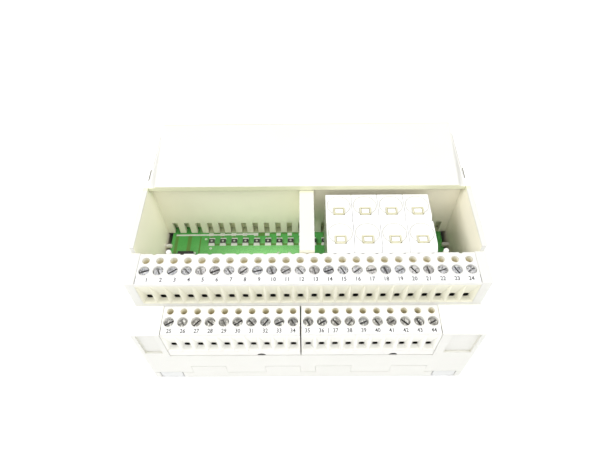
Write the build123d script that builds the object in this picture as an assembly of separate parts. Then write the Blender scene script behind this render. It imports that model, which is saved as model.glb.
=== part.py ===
from build123d import *
import os
from math import radians, tan

os.makedirs("parts", exist_ok=True)

# Input and output module for a 35 mm top-hat rail, lying on its rail side.
# X runs along the terminal rows, -Y is the wiring side, Z is up.
# The origin is the centre of the footprint, on the surface it rests on.  All sizes in mm.

# ---- Driving dimensions ----
PITCH = 5.08                 # terminal pitch, 0.2 inch
UPPER_COUNT = 24             # terminals in the fixed upper block
PLUG_COUNT = 10              # terminals in each pull-off plug
WIDTH = 129.4
DEPTH = 84.4
WALL = 1.85                  # side, ledge and bay walls
SKIRT_T = 2.0                # front and rear walls and the tray
EDGE_R = 0.6                 # rounding of the upright corners
GAP = 0.15                   # clearance between fixed parts that meet

HALF_W = WIDTH / 2
FRONT = -DEPTH / 2
BACK = DEPTH / 2
INNER_X = HALF_W - WALL

# Heights of the stepped housing
SEAM_Z = 4.9                 # parting line of tray and housing
TAB_Z = 11.4                 # top of the interlocking tabs
SEAM_OPEN = 0.35             # open joint above the tray and its tabs
SEAM_SIDE = 0.07             # clearance beside each tab
LEDGE_Z = 41.4               # lower terminal step
BLOCK_Z = 57.0               # upper terminal step
CHEEK_Z = 60.4               # side walls of the relay bay

# Stations from front to back
BLOCK_FRONT = -30.3
BLOCK_BACK = -17.3
CHEEK_FRONT = -16.9
BAY_BACK = 14.8              # rear wall of the relay bay
COMB_TOP = 33.5              # slots in its foot
COMB_BACKING_Y = (18.0, 19.0)
LIP_FRONT = 11.6             # hood edge that overhangs the bay

# Divider across the relay bay: a bar with a thin rib below
DIVIDER_HALF = 2.8
DIVIDER_Z = (55.3, 58.3)
RIB_HALF = 0.7
RIB_BOTTOM = 38.0

# Circuit boards and what stands on them
BOARD_TOP = 26.0
BOARD_T = 1.6
BOARD_X = 60.6
BOARD_FRONT = -29.8
BOARD_BACK = 39.6
CLIP_TIP_X = 59.9            # clips over the board's side edges
CLIP_Y = (6.5, 7.9)
POST_PLACES = [(-56.5, -25.8), (56.5, -25.8), (-56.5, 36.4), (0.0, 31.6), (56.5, 36.4)]
LED_COUNT = 12
LED_FIRST_X = -42.5
LED_PITCH = 5.05
LED_Y = 9.85
LED_HALF_X = 1.25
LED_HALF_Y = 1.05
LED_T = 0.9
LOGIC_Z = 44.0               # underside of the upper board
STANDOFF_PLACES = [(-54.0, 22.5), (54.0, 22.5), (-54.0, 31.0), (54.0, 31.0)]

# Rail channel
RAIL_HALF = 17.7             # 35 mm rail with clearance
RAIL_DEPTH = 5.5
HOOK_REACH = 1.5

# Terminal cell, measured from the block's top and screw line
SCREW_R = 1.8
SCREW_HOLE_R = 1.95
TEST_OFFSET = 4.2            # test hole behind the screw
WIRE_HALF_W = 1.0
WIRE_HALF_H = 1.15
FUNNEL_DEPTH = 2.0
CELL_WALL = 0.3              # between the mouths of two funnels
CAGE_HALF_X = 1.95
CAGE_HALF_Y = 2.0
CAGE_TOP = 5.4               # below the block's top
CAGE_BOTTOM = 13.2

# Upper block
UPPER_SCREW_Y = -24.4
UPPER_SUNK = 0.6             # screw heads below the top face
UPPER_TEST = (1.38, 3.2)     # radius and depth of the test holes
UPPER_WIRE = (11.5, 13.1)    # wire hole and funnel's lower edge, below the top
UPPER_H = 13.8
UPPER_PIN_Y = -19.9
PEG_X = 10 * PITCH           # locating pegs behind the block
PEG_R = 0.95
MARKER_UPPER = (-29.75, -26.75)

# Pull-off plugs
PLUG_SCREW_Y = -36.8
PLUG_SUNK = 1.2
PLUG_TEST = (1.25, 4.6)
PLUG_WIRE = (12.0, 14.1)
PLUG_FRONT = -42.1
PLUG_BACK = -30.42
PLUG_BOTTOM = 22.75
MARKER_PLUG = (-41.75, -39.15)
SNOUT_BACK = -22.6           # part of the plug that enters its header
SNOUT_Z = (28.0, 38.4)
CONTACT_Z = 33.2
HEADER_LEG_Y = -21.9
PLUG_HALF = PLUG_COUNT * PITCH / 2
PLUG_GAP = 0.5
PLUG_MID = -2.54             # centre line between the two plugs
POCKET_FLOOR = 22.5
POCKET_LEFT = -53.75
POCKET_RIGHT = 48.67
POCKET_BACK = -29.9
PANEL_XS = [(-62.8, -56.0), (52.3, 62.8)]  # shallow sunk panels beside the plugs
PANEL_BOTTOM = 25.0
PANEL_SINK = 0.85
NOTCH_XS = (-17.9, 33.2)     # half-round prising notches in the plugs' lower edges
NOTCH_R = 1.7
NOTCH_DEPTH = 4.0

# Plug-in relays
RELAY_PITCH = 10.16
RELAY_W = 10.04
RELAY_D = 13.15
RELAY_ROW_PITCH = 13.4
RELAY_FIRST_X = 12.5
RELAY_REAR_Y = 3.4
RELAY_TOP = 57.7
RELAY_CHAMFER = 2.6          # run of the sloping front edge
RELAY_DROP = 2.0             # its fall
RELAY_SHELL = 0.8
WINDOW_W = 4.3
WINDOW_D = 3.4
RING_R = 4.6                 # fine ring moulded in the top
RELAY_PINS = [(-3.0, -4.6), (3.0, -4.6), (-3.0, -0.6), (0.0, 3.0)]
SOCKET_TOP = 33.0

# Hood
HOOD_HALF = 60.4
HOOD_SLOPE = 11.1
LIP_BOTTOM = 58.85
PLATEAU_FRONT_Z = 61.15
HINGE_X = (63.1, 63.55)      # slots for the flap's hinge tongues
HINGE_Y = (15.8, 21.9)
HINGE_DEPTH = 2.4

# Rail latches
LATCH_X = 57.1
LATCH_HALF = 4.55
LATCH_NOSE = 1.5             # how far the nose reaches under the rail
SPRING_Y = (-34.2, -23.7)    # space of the latch spring at rest


# ---- Helpers ----
def block(x0, x1, y0, y1, z0, z1):
    """Box between limits."""
    middle = Pos((x0 + x1) / 2, (y0 + y1) / 2, (z0 + z1) / 2)
    return middle * Box(x1 - x0, y1 - y0, z1 - z0)


def post(x, y, z0, z1, radius):
    """Upright cylinder."""
    return Pos(x, y, (z0 + z1) / 2) * Cylinder(radius, z1 - z0)


def side_extrusion(points, x0, x1):
    """Outline in the Y-Z plane, carried from x0 to x1."""
    outline = Polyline(*points, close=True)
    return Pos(x0, 0, 0) * extrude(make_face(Plane.YZ * outline), amount=x1 - x0, dir=(1, 0, 0))


def centred_row(count, pitch, middle=0.0):
    """Positions of a centred row."""
    first = middle - (count - 1) * pitch / 2
    return [first + i * pitch for i in range(count)]


def save(name, shape):
    """Write one node."""
    if isinstance(shape, (list, tuple)):
        shape = Compound(list(shape))
    export_step(shape, f"parts/{name}.step")


# ---- Places worked out from the dimensions ----
UPPER_XS = centred_row(UPPER_COUNT, PITCH)
PLUG_MIDS = {
    "left": PLUG_MID - PLUG_GAP / 2 - PLUG_HALF,
    "right": PLUG_MID + PLUG_GAP / 2 + PLUG_HALF,
}
TAB_SPANS = [(-47.7, -33.4), (-17.3, -2.9), (3.2, 17.9), (34.0, 48.6)]
SIDE_TAB_HALF = 22.0


# ---- Base tray: floor, rail channel, latch guides and board posts ----
def base_tray():
    wall = SKIRT_T
    floor_t = SKIRT_T
    tray = block(-HALF_W, HALF_W, FRONT, BACK, 0, SEAM_Z)
    tray = fillet(tray.edges().filter_by(Axis.Z), EDGE_R)
    tray -= block(-HALF_W + wall, HALF_W - wall, FRONT + wall, BACK - wall, floor_t, SEAM_Z + 1)

    channel_roof = RAIL_DEPTH + 2.0
    outer = RAIL_HALF + 2.0
    tray += block(-HALF_W, HALF_W, -outer, outer, 0, channel_roof)

    for x0, x1 in TAB_SPANS:
        for y0, y1 in ((FRONT, FRONT + wall), (BACK - wall, BACK)):
            tray += block(x0 + SEAM_SIDE, x1 - SEAM_SIDE, y0, y1, floor_t, TAB_Z)
    for x0, x1 in ((-HALF_W, -HALF_W + wall - 0.3), (HALF_W - wall + 0.3, HALF_W)):
        tray += block(x0, x1, -SIDE_TAB_HALF + SEAM_SIDE, SIDE_TAB_HALF - SEAM_SIDE, floor_t, TAB_Z)
    tray -= block(-HALF_W - 1, HALF_W + 1, -RAIL_HALF, RAIL_HALF, -1, RAIL_DEPTH)

    for side in (-1, 1):
        tray += latch_guide(side * LATCH_X)
    for side in (-1, 1):
        tray -= latch_groove(side * LATCH_X)
        tray += groove_lips(side * LATCH_X)
        tray += spring_stop(side * LATCH_X)

    nose = [
        (RAIL_HALF + 0.5, 1.2),
        (RAIL_HALF - HOOK_REACH, 2.8),
        (RAIL_HALF - HOOK_REACH, 4.2),
        (RAIL_HALF + 0.5, 4.2),
    ]
    for x in (-LATCH_X, 0.0, LATCH_X):
        tray += side_extrusion(nose, x - 6, x + 6)

    for x, y in POST_PLACES:
        tray += post(x, y, 1.0 if y > 0 else 6.5, BOARD_TOP - BOARD_T, 3.0)
        tray -= post(x, y, 14.0, BOARD_TOP, 1.2)
    return tray


def latch_guide(x):
    """Raised roof over one latch."""
    return block(x - 5.6, x + 5.6, FRONT + 2.2, -RAIL_HALF, 0, 7.0)


def latch_groove(x):
    """Space that one latch slides in, open below and at the front."""
    width = LATCH_HALF + 0.35
    return block(x - width, x + width, FRONT - 1, -RAIL_HALF + 0.01, -1, RAIL_DEPTH)


def groove_lips(x):
    """Two rails that carry the latch from below."""
    outer = LATCH_HALF + 0.45
    lips = []
    for side in (-1, 1):
        low, high = sorted((x + side * (outer - 1.2), x + side * (outer + 0.2)))
        lips.append(block(low, high, FRONT + 5.2, -RAIL_HALF, 0, 1.3))
    return lips[0] + lips[1]


def spring_stop(x):
    """Peg that the latch spring pushes against."""
    return block(x - 2.0, x + 2.0, SPRING_Y[0] - 1.1, SPRING_Y[0], 1.2, RAIL_DEPTH + 0.5)


# ---- Main housing: stepped shell with relay bay, ledges and plug pocket ----
def main_housing():
    outside = [
        (FRONT, SEAM_Z + SEAM_OPEN),
        (FRONT, LEDGE_Z),
        (BLOCK_FRONT, LEDGE_Z),
        (BLOCK_FRONT, BLOCK_Z),
        (CHEEK_FRONT, BLOCK_Z),
        (CHEEK_FRONT, CHEEK_Z),
        (BACK, CHEEK_Z),
        (BACK, SEAM_Z + SEAM_OPEN),
    ]
    front_in = FRONT + SKIRT_T
    inside = [
        (front_in, 0),
        (front_in, LEDGE_Z - WALL),
        (BLOCK_FRONT + WALL, LEDGE_Z - WALL),
        (BLOCK_FRONT + WALL, BLOCK_Z - WALL),
        (CHEEK_FRONT, BLOCK_Z - WALL),
        (CHEEK_FRONT, CHEEK_Z + 1),
        (BACK - WALL, CHEEK_Z + 1),
        (BACK - WALL, 0),
    ]
    shell = side_extrusion(outside, -HALF_W, HALF_W)
    upright = shell.edges().filter_by(Axis.Z)
    shell = fillet(upright, EDGE_R)
    shell -= side_extrusion(inside, -INNER_X, INNER_X)

    # Opening for the upper block, with the shelf that carries it
    block_half = UPPER_COUNT * PITCH / 2 + 0.1
    shelf_top = BLOCK_Z - UPPER_H - 0.05
    shell -= block(-block_half, block_half, BLOCK_FRONT - 1, CHEEK_FRONT + 1, shelf_top, BLOCK_Z + 1)
    shell += block(-INNER_X, INNER_X, BLOCK_FRONT + 0.5, -17.6, shelf_top - 1.3, shelf_top)
    shell -= block(-60.0, 60.0, -20.8, -19.0, shelf_top - 2, shelf_top + 1)
    shell += block(-INNER_X, INNER_X, -18.9, -17.6, BOARD_TOP + 0.3, shelf_top - 0.5)

    # Bay: rear wall with a comb of slots, and the divider, a bar with a rib below
    shell += block(-INNER_X, INNER_X, BAY_BACK, BAY_BACK + WALL, BOARD_TOP + 0.3, LIP_BOTTOM - GAP)
    for x in UPPER_XS:
        shell -= block(x - 1.15, x + 1.15, BAY_BACK - 1, BAY_BACK + WALL + 1, BOARD_TOP, COMB_TOP)
    shell += block(-INNER_X, INNER_X, *COMB_BACKING_Y, BOARD_TOP + 0.3, COMB_TOP + 4)
    shell += block(-INNER_X, INNER_X, BAY_BACK + 0.5, COMB_BACKING_Y[1], COMB_TOP + 3, COMB_TOP + 4)
    shell += block(-DIVIDER_HALF, DIVIDER_HALF, CHEEK_FRONT, BAY_BACK + 0.5, *DIVIDER_Z)
    shell += block(-RIB_HALF, RIB_HALF, BLOCK_BACK + 0.2, BAY_BACK + 0.5, RIB_BOTTOM, 57.0)
    shell += block(-RIB_HALF, RIB_HALF, -18.0, BLOCK_BACK + 0.5, RIB_BOTTOM, shelf_top - 0.5)

    # Clips on the bay's side walls that hold the board down
    for side in (-1, 1):
        low, high = sorted((side * CLIP_TIP_X, side * (INNER_X + 0.1)))
        shell += block(low, high, *CLIP_Y, BOARD_TOP + 0.15, BOARD_TOP + 1.5)

    # Rear wall stops under the hood between the cheeks
    shell -= block(-INNER_X, INNER_X, BAY_BACK + 5, BACK + 1, LIP_BOTTOM - GAP, CHEEK_Z + 1)

    # Plug pocket: floor, side walls and the cut itself
    left, right = POCKET_LEFT - 1.5, POCKET_RIGHT + 1.5
    rear = POCKET_BACK - 0.05
    shell += block(left, right, front_in - 0.5, rear, POCKET_FLOOR - 1.8, POCKET_FLOOR)
    for x0, x1 in ((left, POCKET_LEFT), (POCKET_RIGHT, right)):
        shell += block(x0, x1, front_in - 0.5, rear, POCKET_FLOOR - 1, LEDGE_Z - 1)
    over_ledge = LEDGE_Z + 0.35
    shell -= block(POCKET_LEFT, POCKET_RIGHT, FRONT - 1, BLOCK_FRONT, POCKET_FLOOR, over_ledge)
    shell -= block(POCKET_LEFT, POCKET_RIGHT, BLOCK_FRONT, POCKET_BACK, POCKET_FLOOR, 41.0)

    # Sunk panels, with a backing so that the wall keeps its thickness
    for x0, x1 in PANEL_XS:
        shell += block(x0, x1, front_in - 0.5, front_in + PANEL_SINK, PANEL_BOTTOM - 1, LEDGE_Z - 1)
        shell -= block(x0, x1, FRONT - 1, FRONT + PANEL_SINK, PANEL_BOTTOM, LEDGE_Z - 0.8)

    # Hinge slots of the flap, in the tops of both cheeks beside the hood
    for side in (-1, 1):
        low, high = sorted((side * HINGE_X[0], side * HINGE_X[1]))
        shell -= block(low, high, *HINGE_Y, CHEEK_Z - HINGE_DEPTH, CHEEK_Z + 1)

    # Notches over the latch tabs and the tray's tabs
    for x in (-LATCH_X, LATCH_X):
        width = LATCH_HALF + 0.35
        shell -= block(x - width, x + width, FRONT - 1, FRONT + 2.6, 0, RAIL_DEPTH + 0.1)
    for x0, x1 in TAB_SPANS:
        shell -= block(x0, x1, FRONT - 1, FRONT + 2.6, 0, TAB_Z + SEAM_OPEN)
        shell -= block(x0, x1, BACK - 2.6, BACK + 1, 0, TAB_Z + SEAM_OPEN)
    for side in (-1, 1):
        low, high = sorted((side * (HALF_W - 2.4), side * (HALF_W + 1)))
        shell -= block(low, high, -SIDE_TAB_HALF, SIDE_TAB_HALF, 0, TAB_Z + SEAM_OPEN)
    return shell


# ---- Hood: sloping rear cover ----
def top_hood():
    half = INNER_X - 0.15
    rise = (BACK - LIP_FRONT) * tan(radians(HOOD_SLOPE))
    hood = block(-half, half, LIP_FRONT, BACK, LIP_BOTTOM, CHEEK_Z)
    outline = [
        (LIP_FRONT, CHEEK_Z - 0.5),
        (LIP_FRONT, PLATEAU_FRONT_Z),
        (BACK, PLATEAU_FRONT_Z + rise),
        (BACK, CHEEK_Z - 0.5),
    ]
    raised = side_extrusion(outline, -HOOD_HALF, HOOD_HALF)
    top_edges = raised.edges().filter_by(lambda e: e.center().Z > PLATEAU_FRONT_Z + 0.5)
    hood += fillet(top_edges, 0.9)

    # Hollow the raised part from below and leave the front lip solid
    t = 1.8
    hollow = [
        (BAY_BACK + 2.5, LIP_BOTTOM - 1),
        (BAY_BACK + 2.5, PLATEAU_FRONT_Z - 0.9),
        (BACK - t, PLATEAU_FRONT_Z + rise - t - 0.4),
        (BACK - t, LIP_BOTTOM - 1),
    ]
    hood -= side_extrusion(hollow, -HOOD_HALF + t, HOOD_HALF - t)

    # Skirt that locates the hood inside the housing
    for x0, x1 in ((-HOOD_HALF, -HOOD_HALF + t), (HOOD_HALF - t, HOOD_HALF)):
        hood += block(x0, x1, BAY_BACK + 2.5, BACK - 2.3, 54.0, CHEEK_Z)
    return hood


# ---- Boards ----
def main_board():
    board = block(-BOARD_X, BOARD_X, BOARD_FRONT, BOARD_BACK, BOARD_TOP - BOARD_T, BOARD_TOP)
    holes = [post(x, y, BOARD_TOP - 3, BOARD_TOP + 1, 1.6) for x, y in POST_PLACES]
    holes += [post(x, UPPER_PIN_Y, BOARD_TOP - 3, BOARD_TOP + 1, 0.65) for x in UPPER_XS]
    for middle in PLUG_MIDS.values():
        for x in centred_row(PLUG_COUNT, PITCH, middle):
            holes.append(post(x, HEADER_LEG_Y, BOARD_TOP - 3, BOARD_TOP + 1, 0.85))
    for x, y in relay_places():
        for dx, dy in RELAY_PINS:
            holes.append(post(x + dx, y + dy, BOARD_TOP - 3, BOARD_TOP + 1, 0.75))
    return board - holes


def board_screws():
    screws = []
    for x, y in POST_PLACES:
        head = post(x, y, BOARD_TOP + 0.02, BOARD_TOP + 2.0, 2.7)
        head = fillet(head.edges().group_by(Axis.Z)[-1], 0.6)
        recess = block(x - 1.5, x + 1.5, y - 0.35, y + 0.35, BOARD_TOP + 1.2, BOARD_TOP + 3)
        recess += block(x - 0.35, x + 0.35, y - 1.5, y + 1.5, BOARD_TOP + 1.2, BOARD_TOP + 3)
        shank = post(x, y, BOARD_TOP - 10, BOARD_TOP + 0.5, 1.15)
        screws.append(head - recess + shank)
    return screws


def input_leds():
    """Twelve surface-mount indicators with a round lens."""
    leds = []
    for i in range(LED_COUNT):
        x = LED_FIRST_X + i * LED_PITCH
        low, high = LED_Y - LED_HALF_Y, LED_Y + LED_HALF_Y
        body = block(x - LED_HALF_X, x + LED_HALF_X, low, high, BOARD_TOP + 0.02, BOARD_TOP + LED_T)
        body -= post(x, LED_Y, BOARD_TOP + 0.5, BOARD_TOP + 2, 0.5)
        leds.append(body)
    return leds


def led_lenses():
    lenses = []
    for i in range(LED_COUNT):
        x = LED_FIRST_X + i * LED_PITCH
        lenses.append(post(x, LED_Y, BOARD_TOP + 0.5, BOARD_TOP + LED_T + 0.08, 0.46))
    return lenses


def interface_chips():
    """Couplers behind the bay wall and the driver at the bay's left end."""
    chips = []
    for x in centred_row(5, 4 * PITCH):
        chips.append(block(x - 4.4, x + 4.4, 22.0, 28.4, BOARD_TOP + 0.3, BOARD_TOP + 3.8))
    chips.append(block(-56.4, -49.6, -1.5, 3.3, BOARD_TOP + 0.3, BOARD_TOP + 2.6))
    return chips


def logic_board():
    board = block(-57.0, 57.0, 19.5, 39.0, LOGIC_Z, LOGIC_Z + BOARD_T)
    for x, y in STANDOFF_PLACES:
        board -= post(x, y, LOGIC_Z - 1, LOGIC_Z + 3, 1.3)
    return board


def board_standoffs():
    """Spacers that carry the logic board, with a pip through it."""
    spacers = []
    for x, y in STANDOFF_PLACES:
        spacer = post(x, y, BOARD_TOP + 0.02, LOGIC_Z - 0.02, 2.4)
        spacers.append(spacer + post(x, y, LOGIC_Z - 0.5, LOGIC_Z + BOARD_T + 0.8, 1.2))
    return spacers


def stacking_connector():
    body = block(-20.4, 20.4, 35.2, 38.2, BOARD_TOP + 0.02, LOGIC_Z - 0.02)
    for x in centred_row(16, 2.54):
        body -= block(x - 0.4, x + 0.4, 34.9, 35.7, BOARD_TOP + 2, LOGIC_Z - 2)
    return body


def processor_chip():
    z = LOGIC_Z + BOARD_T
    chip = block(-34.0, -20.0, 22.0, 36.0, z + 0.2, z + 1.8)
    return chip - post(-32.6, 23.4, z + 1.6, z + 3, 0.6)


def supply_capacitors():
    cans = []
    z = LOGIC_Z + BOARD_T + 0.02
    for x in (16.0, 27.5, 39.0):
        can = post(x, 29.0, z, z + 9.0, 4.0)
        cans.append(fillet(can.edges().group_by(Axis.Z)[-1], 0.7))
    return cans


# ---- Terminal cells ----
def terminal_body(body, xs, front, screw_y, top, test, wire):
    """Cut screw, test, wire and clamp spaces for every terminal."""
    test_r, test_depth = test
    for x in xs:
        body -= post(x, screw_y, top - CAGE_TOP - 1, top + 1, SCREW_HOLE_R)
        body -= post(x, screw_y + TEST_OFFSET, top - test_depth, top + 1, test_r)
        body -= block(
            x - CAGE_HALF_X - 0.1, x + CAGE_HALF_X + 0.1,
            screw_y - CAGE_HALF_Y - 0.1, screw_y + CAGE_HALF_Y + 0.1,
            top - CAGE_BOTTOM - 0.1, top - CAGE_TOP + 0.1,
        )
        body -= wire_funnel(x, front, screw_y, top, wire)
    return body


def cell_outline(x, y, half, z_top, z_bottom):
    """Upright rectangle across the cell."""
    corners = [(x - half, y, z_bottom), (x + half, y, z_bottom), (x + half, y, z_top), (x - half, y, z_top)]
    return make_face(Polyline(*corners, close=True))


def wire_funnel(x, front, screw_y, top, wire):
    """Sunk cell in the front face, sloping back to the wire hole."""
    hole_drop, lower_edge = wire
    middle = top - hole_drop
    mouth = cell_outline(x, front - 0.01, (PITCH - CELL_WALL) / 2, top - 1.0, top - lower_edge)
    end = cell_outline(x, front + FUNNEL_DEPTH, WIRE_HALF_W + 0.2, middle + 1.7, middle - 1.3)
    funnel = loft([mouth, end], ruled=True)
    hole = block(
        x - WIRE_HALF_W, x + WIRE_HALF_W, front, screw_y, middle - WIRE_HALF_H, middle + WIRE_HALF_H
    )
    return funnel + fillet(hole.edges().filter_by(Axis.Y), 0.75)


def clamp_screws(xs, screw_y, top, sunk, first_angle):
    """Slotted clamp screws, left at the angles that wiring leaves them."""
    screws = []
    for i, x in enumerate(xs):
        head_top = top - sunk
        head = post(0, 0, head_top - 1.9, head_top, SCREW_R)
        head = chamfer(head.edges().group_by(Axis.Z)[-1], 0.2)
        head += post(0, 0, top - CAGE_TOP - 2.2, head_top - 1.5, 1.2)
        head -= block(-SCREW_R - 1, SCREW_R + 1, -0.32, 0.32, head_top - 0.8, head_top + 1)
        angle = (first_angle + 67 * i + 31 * (i % 4)) % 180
        screws.append(Pos(x, screw_y, 0) * Rot(0, 0, angle) * head)
    return screws


def wire_clamps(xs, screw_y, top):
    """Box clamps that the screws draw up."""
    cages = []
    z0 = top - CAGE_BOTTOM
    z1 = top - CAGE_TOP
    for x in xs:
        cage = block(x - CAGE_HALF_X, x + CAGE_HALF_X, screw_y - CAGE_HALF_Y, screw_y + CAGE_HALF_Y, z0, z1)
        cage -= block(x - 1.4, x + 1.4, screw_y - 3, screw_y + 3, z0 + 0.6, z1 - 2.4)
        cage -= post(x, screw_y, z1 - 3, z1 + 1, 1.25)
        cages.append(cage)
    return cages


def upper_block_body():
    half = UPPER_COUNT * PITCH / 2
    bottom = BLOCK_Z - UPPER_H
    body = block(-half, half, BLOCK_FRONT, BLOCK_BACK, bottom, BLOCK_Z)
    body = terminal_body(body, UPPER_XS, BLOCK_FRONT, UPPER_SCREW_Y, BLOCK_Z, UPPER_TEST, UPPER_WIRE)
    # Scalloped rear edge, a groove between each two cells
    for x in centred_row(UPPER_COUNT - 1, PITCH):
        if abs(abs(x) - PEG_X) > 1:
            body -= post(x, BLOCK_BACK + 0.5, bottom - 1, BLOCK_Z + 1, PEG_R)
    # Contact slots, open below
    for x in UPPER_XS:
        body -= block(x - 0.8, x + 0.8, UPPER_SCREW_Y + 1.9, UPPER_PIN_Y + 0.8, bottom - 1, bottom + 2.6)
    # Seat of the marker strip
    seat = (MARKER_UPPER[0] - 0.05, MARKER_UPPER[1] + 0.05)
    body -= block(-half - 1, half + 1, *seat, BLOCK_Z - 0.5, BLOCK_Z + 1)
    # Locating pegs behind the block
    for x in (-PEG_X, PEG_X):
        peg = post(x, BLOCK_BACK + 0.75, BLOCK_Z - 8, BLOCK_Z + 0.6, PEG_R)
        body += fillet(peg.edges().group_by(Axis.Z)[-1], 0.4)
    return body


def marker_strip(x0, x1, limits, top):
    strip = block(x0, x1, limits[0], limits[1], top - 0.48, top + 0.12)
    return chamfer(strip.edges().filter_by(Axis.X).group_by(Axis.Z)[-1], 0.1)


def upper_contact_pins():
    """Bent contact strips from the clamps down to the board."""
    pins = []
    bottom = BLOCK_Z - UPPER_H
    for x in UPPER_XS:
        leg = post(x, UPPER_PIN_Y, BOARD_TOP - 3.0, bottom + 2.0, 0.5)
        bar = block(x - 0.6, x + 0.6, UPPER_SCREW_Y + 2.15, UPPER_PIN_Y + 0.5, bottom + 1.4, bottom + 2.4)
        pins.append(leg + bar)
    return pins


# ---- Pull-off plugs and their headers ----
def plug_body(middle):
    x0, x1 = middle - PLUG_HALF, middle + PLUG_HALF
    xs = centred_row(PLUG_COUNT, PITCH, middle)
    body = block(x0, x1, PLUG_FRONT, PLUG_BACK, PLUG_BOTTOM, LEDGE_Z)
    body = chamfer(body.edges().filter_by(Axis.X).group_by(Axis.Z)[0], 0.4)
    for x in NOTCH_XS:
        notch = Cylinder(NOTCH_R, 2 * NOTCH_DEPTH)
        body -= Pos(x, PLUG_FRONT, PLUG_BOTTOM) * Rot(90, 0, 0) * notch
    body = terminal_body(body, xs, PLUG_FRONT, PLUG_SCREW_Y, LEDGE_Z, PLUG_TEST, PLUG_WIRE)
    body += block(x0 + 1.0, x1 - 1.0, PLUG_BACK - 0.5, SNOUT_BACK, *SNOUT_Z)
    for x in xs:
        low, high = CONTACT_Z - 1.1, CONTACT_Z + 1.1
        body -= block(x - 1.1, x + 1.1, PLUG_BACK, SNOUT_BACK + 1, low, high)
    # Coding grooves under the snout
    for x in xs[::3]:
        low, high = SNOUT_Z[0] - 1, SNOUT_Z[0] + 0.8
        body -= block(x - 0.7, x + 0.7, PLUG_BACK + 1, SNOUT_BACK + 1, low, high)
    seat = (MARKER_PLUG[0] - 0.05, MARKER_PLUG[1] + 0.05)
    body -= block(x0 - 1, x1 + 1, *seat, LEDGE_Z - 0.5, LEDGE_Z + 1)
    return body


def plug_header(middle):
    """Open-fronted shroud on the board that takes the plug's snout."""
    half = PLUG_HALF - 0.05
    back = -20.95
    shroud = block(middle - half, middle + half, BOARD_FRONT + 0.1, back, BOARD_TOP + 0.05, 39.4)
    cavity = block(
        middle - PLUG_HALF + 0.75, middle + PLUG_HALF - 0.75,
        BOARD_FRONT - 1, SNOUT_BACK + 0.35, SNOUT_Z[0] - 0.3, SNOUT_Z[1] + 0.3,
    )
    shroud -= cavity
    for x in centred_row(PLUG_COUNT, PITCH, middle):
        shroud -= block(x - 0.6, x + 0.6, SNOUT_BACK, back + 1, BOARD_TOP, CONTACT_Z + 0.6)
    return shroud


def header_pins(middle):
    pins = []
    for x in centred_row(PLUG_COUNT, PITCH, middle):
        rear = HEADER_LEG_Y + 0.5
        lying = block(x - 0.5, x + 0.5, -28.4, rear, CONTACT_Z - 0.5, CONTACT_Z + 0.5)
        leg = block(x - 0.5, x + 0.5, rear - 1.0, rear, BOARD_TOP - 3.0, CONTACT_Z)
        pins.append(lying + leg)
    return pins


# ---- Plug-in relays and their sockets ----
def relay_places():
    """Centres of the eight relays, rear row first."""
    places = []
    for row in range(2):
        for column in range(4):
            x = RELAY_FIRST_X + column * RELAY_PITCH
            places.append((x, RELAY_REAR_Y - row * RELAY_ROW_PITCH))
    return places


def relay_case(x, y):
    """Closed cover with a sloping front edge and a seat for the window."""
    bottom = SOCKET_TOP + 1.9
    front = y - RELAY_D / 2
    rear = y + RELAY_D / 2
    outline = [
        (front, bottom),
        (front, RELAY_TOP - RELAY_DROP),
        (front + RELAY_CHAMFER, RELAY_TOP),
        (rear, RELAY_TOP),
        (rear, bottom),
    ]
    case = side_extrusion(outline, x - RELAY_W / 2, x + RELAY_W / 2)
    case = fillet(case.edges().filter_by(Axis.Z), 0.35)
    inner = [
        (front + RELAY_SHELL, bottom - 1),
        (front + RELAY_SHELL, RELAY_TOP - RELAY_DROP - 0.6),
        (front + RELAY_CHAMFER + 0.4, RELAY_TOP - 1.0),
        (rear - RELAY_SHELL, RELAY_TOP - 1.0),
        (rear - RELAY_SHELL, bottom - 1),
    ]
    half = RELAY_W / 2 - RELAY_SHELL
    case -= side_extrusion(inner, x - half, x + half)
    # Fine ring moulded in the flat top, cut short by the sloping edge
    ring_y = y + RELAY_CHAMFER / 2 - 0.2
    ring = post(x, ring_y, RELAY_TOP - 0.25, RELAY_TOP + 1, RING_R)
    ring -= post(x, ring_y, RELAY_TOP - 1, RELAY_TOP + 2, RING_R - 0.25)
    ring -= block(x - 6, x + 6, y - 8, front + RELAY_CHAMFER + 0.3, RELAY_TOP - 2, RELAY_TOP + 2)
    case -= ring
    wx0, wx1, wy0, wy1 = window_limits(x, y)
    case -= block(wx0 - 0.05, wx1 + 0.05, wy0 - 0.05, wy1 + 0.05, RELAY_TOP - 0.5, RELAY_TOP + 1)
    return case


def window_limits(x, y):
    """Edges of the indicator window, at the front of the flat top."""
    low = y - RELAY_D / 2 + RELAY_CHAMFER + 0.35
    return x - WINDOW_W / 2, x + WINDOW_W / 2, low, low + WINDOW_D


def relay_window(x, y):
    """Raised frame with a sunk pane, its front corners cut."""
    x0, x1, y0, y1 = window_limits(x, y)
    frame = block(x0, x1, y0, y1, RELAY_TOP - 0.48, RELAY_TOP + 0.45)
    front = frame.edges().filter_by(Axis.Z).group_by(Axis.Y)[0]
    frame = chamfer(front, 0.7)
    frame -= block(x0 + 0.5, x1 - 0.5, y0 + 0.55, y1 - 0.5, RELAY_TOP + 0.1, RELAY_TOP + 2)
    return frame


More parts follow.
